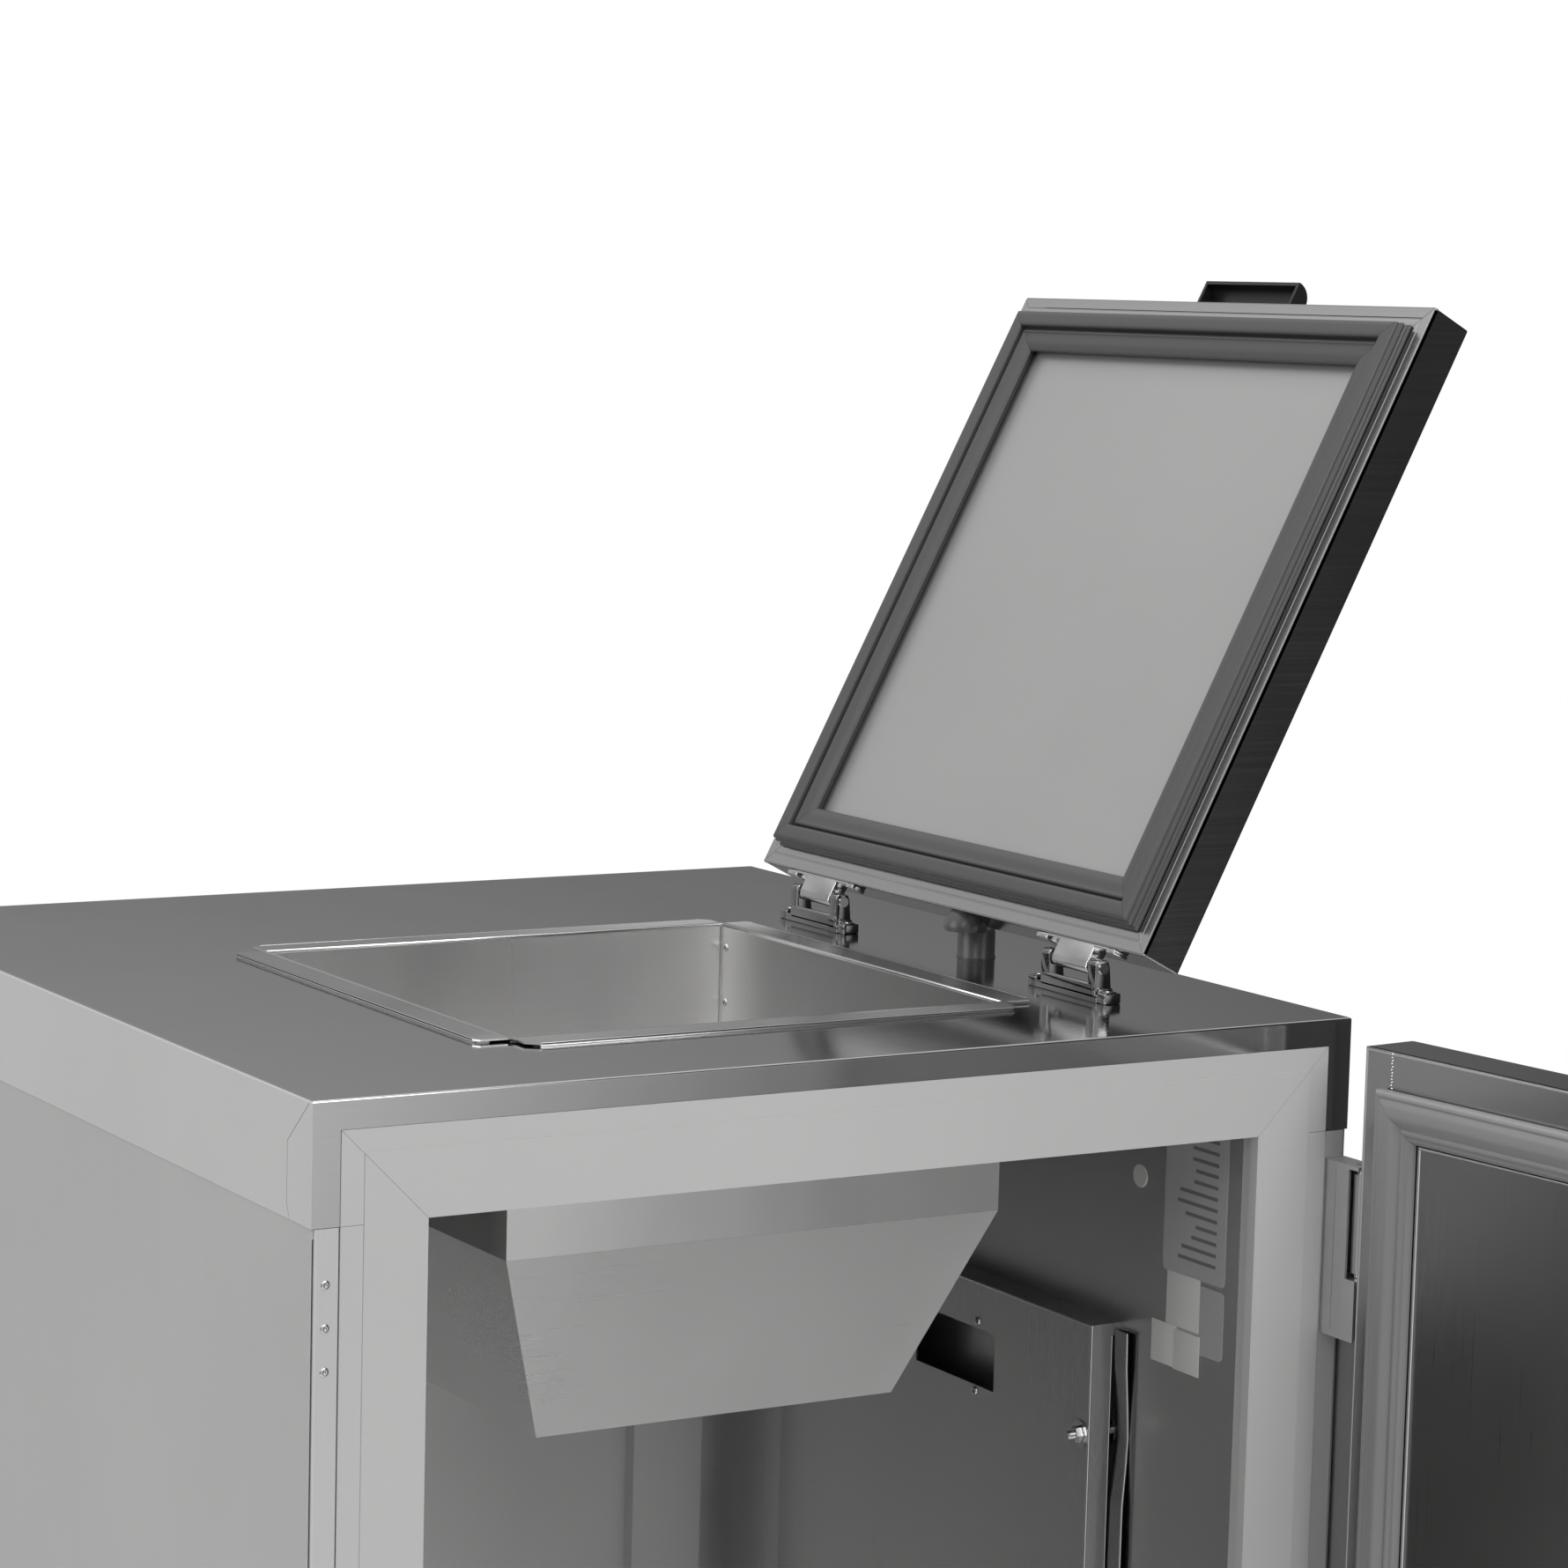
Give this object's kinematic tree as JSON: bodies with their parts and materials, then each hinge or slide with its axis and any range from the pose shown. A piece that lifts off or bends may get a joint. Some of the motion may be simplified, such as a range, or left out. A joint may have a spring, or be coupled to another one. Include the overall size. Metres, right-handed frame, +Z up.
{
  "type": "waste bin cooler cabinet",
  "caption": "Free-standing stainless refrigerated waste-bin cabinet with a top hatch lid over a square chute and a hinged front door.",
  "frame": {"origin": "centre of the cabinet's footprint, on the floor", "axes": "+Z up, +X to the right seen from the front, -Y towards the front door"},
  "size_m": [0.8319, 1.4512, 1.701],
  "materials": {
    "brushed_stainless": "brushed, satin",
    "inner_stainless": "rolled, satin",
    "zinc_plated_steel": "dull zinc",
    "bright_chrome": "polished",
    "satin_cast_metal": "satin",
    "black_plastic": "satin",
    "white_plastic": "satin",
    "black_rubber": "matt",
    "grey_gasket": "matt",
    "insulating_foam": "closed-cell foam",
    "stainless_handle": "brushed, satin",
    "blank_plate": "satin, unprinted",
    "aluminium_fins": "mill finish",
    "black_enamel": "satin enamel",
    "copper": "drawn tube"
  },
  "bodies": {
    "cabinet": {"base_pan": "zinc_plated_steel", "blind_rivets": "zinc_plated_steel", "bumper_post": "black_rubber", "chute_funnel": "brushed_stainless", "chute_throat": "brushed_stainless", "compressor": "black_enamel", "condenser": "aluminium_fins", "control_housings": "black_plastic", "corner_strips": "brushed_stainless", "cover_fasteners": "zinc_plated_steel", "door_hinge_brackets": "satin_cast_metal", "evaporator_clamp_strip": "brushed_stainless", "evaporator_coil": "aluminium_fins", "evaporator_cover": "inner_stainless", "fan_motor": "black_enamel", "fan_shroud": "black_plastic", "feet": "black_rubber", "foam_floor": "insulating_foam", "foam_rear": "insulating_foam", "foam_sides": "insulating_foam", "foam_top": "insulating_foam", "frame_rail_bottom": "brushed_stainless", "frame_rail_left": "brushed_stainless", "frame_rail_right": "brushed_stainless", "frame_rail_top": "brushed_stainless", "hinge_guard": "inner_stainless", "hinge_pins": "bright_chrome", "lid_hinge_bases": "bright_chrome", "liner_ceiling": "inner_stainless", "liner_floor": "inner_stainless", "liner_left": "inner_stainless", "liner_rear": "inner_stainless", "liner_right": "inner_stainless", "machine_bulkhead": "zinc_plated_steel", "mains_inlet": "black_plastic", "pipe_cover": "inner_stainless", "pipework": "copper", "rating_plate": "blank_plate", "rear_grille": "zinc_plated_steel", "rear_panel": "zinc_plated_steel", "side_panel_left": "brushed_stainless", "side_panel_right": "brushed_stainless", "top_cover": "brushed_stainless", "wall_plug": "white_plastic"},
    "door": {"door_shell": "brushed_stainless", "door_foam": "insulating_foam", "door_inner_panel": "inner_stainless", "door_gasket": "grey_gasket", "door_handle": "stainless_handle", "door_hinge_leaves": "satin_cast_metal"},
    "lid": {"lid_shell": "brushed_stainless", "lid_foam": "insulating_foam", "lid_inner_panel": "inner_stainless", "lid_gasket": "grey_gasket", "lid_handle": "black_plastic", "lid_hinge_leaves": "bright_chrome", "lid_buffer": "black_rubber"},
    "fan": {"condenser_fan": "black_plastic"},
    "rocker": {"switch_rocker": "black_plastic"},
    "knob": {"thermostat_knob": "black_plastic"}
  },
  "joints": [
    {"name": "lid_hinge", "type": "hinge", "parent": "cabinet", "child": "lid", "pos_m": [0.2365, 0, 1.271], "axis": [0, -1, 0], "range_deg": [0, 117.5]},
    {"name": "door_hinge", "type": "hinge", "parent": "cabinet", "child": "door", "pos_m": [0.343, -0.3945, 0.6], "axis": [0, 0, 1], "range_deg": [-95.5, 8]},
    {"name": "fan_spin", "type": "hinge", "parent": "cabinet", "child": "fan", "pos_m": [0.12, 0.3175, 0.165], "axis": [0, 1, 0], "continuous": true},
    {"name": "power_rocker", "type": "hinge", "parent": "cabinet", "child": "rocker", "pos_m": [-0.244, 0.3605, 1.1045], "axis": [1, 0, 0], "range_deg": [-12, 0]},
    {"name": "thermostat_turn", "type": "hinge", "parent": "cabinet", "child": "knob", "pos_m": [-0.18, 0.375, 1.1045], "axis": [0, 1, 0], "range_deg": [0, 270]}
  ]
}
